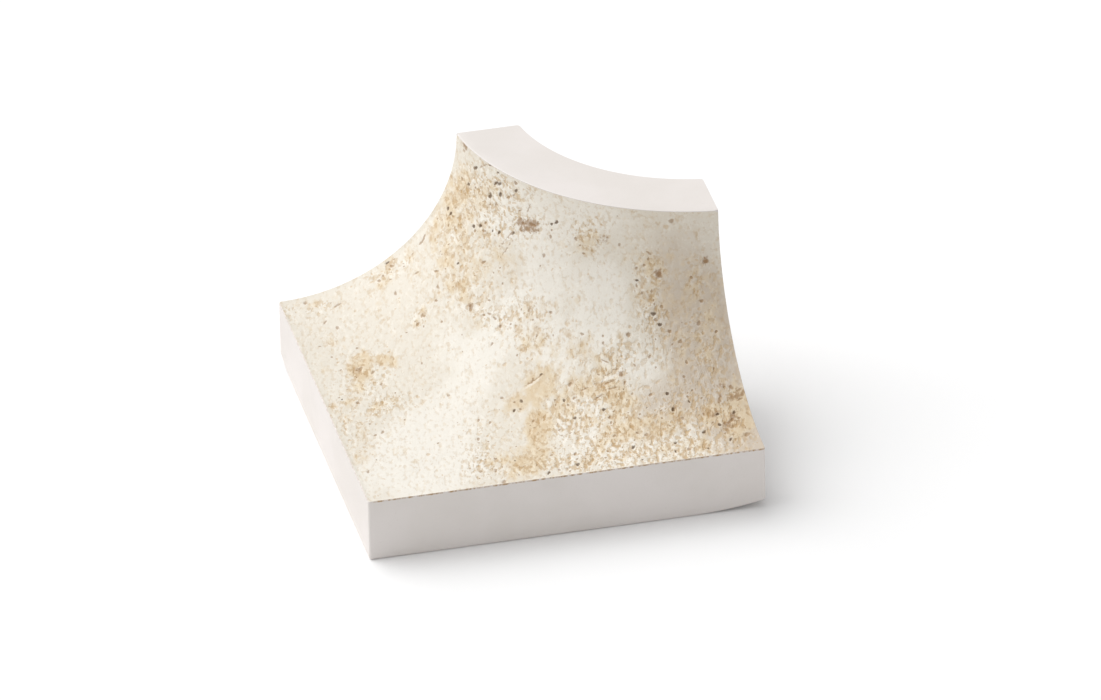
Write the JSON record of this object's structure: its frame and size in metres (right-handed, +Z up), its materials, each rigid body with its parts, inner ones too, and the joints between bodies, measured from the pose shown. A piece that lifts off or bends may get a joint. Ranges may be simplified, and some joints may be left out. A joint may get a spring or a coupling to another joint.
{
  "type": "outside corner cove tile",
  "caption": "Square porcelain floor tile whose stone-look glazed face sweeps up through a cove into a short leg that wraps a rounded outside wall corner.",
  "frame": {"origin": "middle of the square sole, on the floor that the tile rests on", "axes": "+Z up, away from the floor; +X and +Y point from the two toe edges towards the wall, and the free corner of the sole is at -X, -Y"},
  "size_m": [0.06, 0.06, 0.035],
  "materials": {
    "porcelain": "matt"
  },
  "bodies": {
    "root": {"corner_tile": "porcelain"}
  },
  "joints": []
}
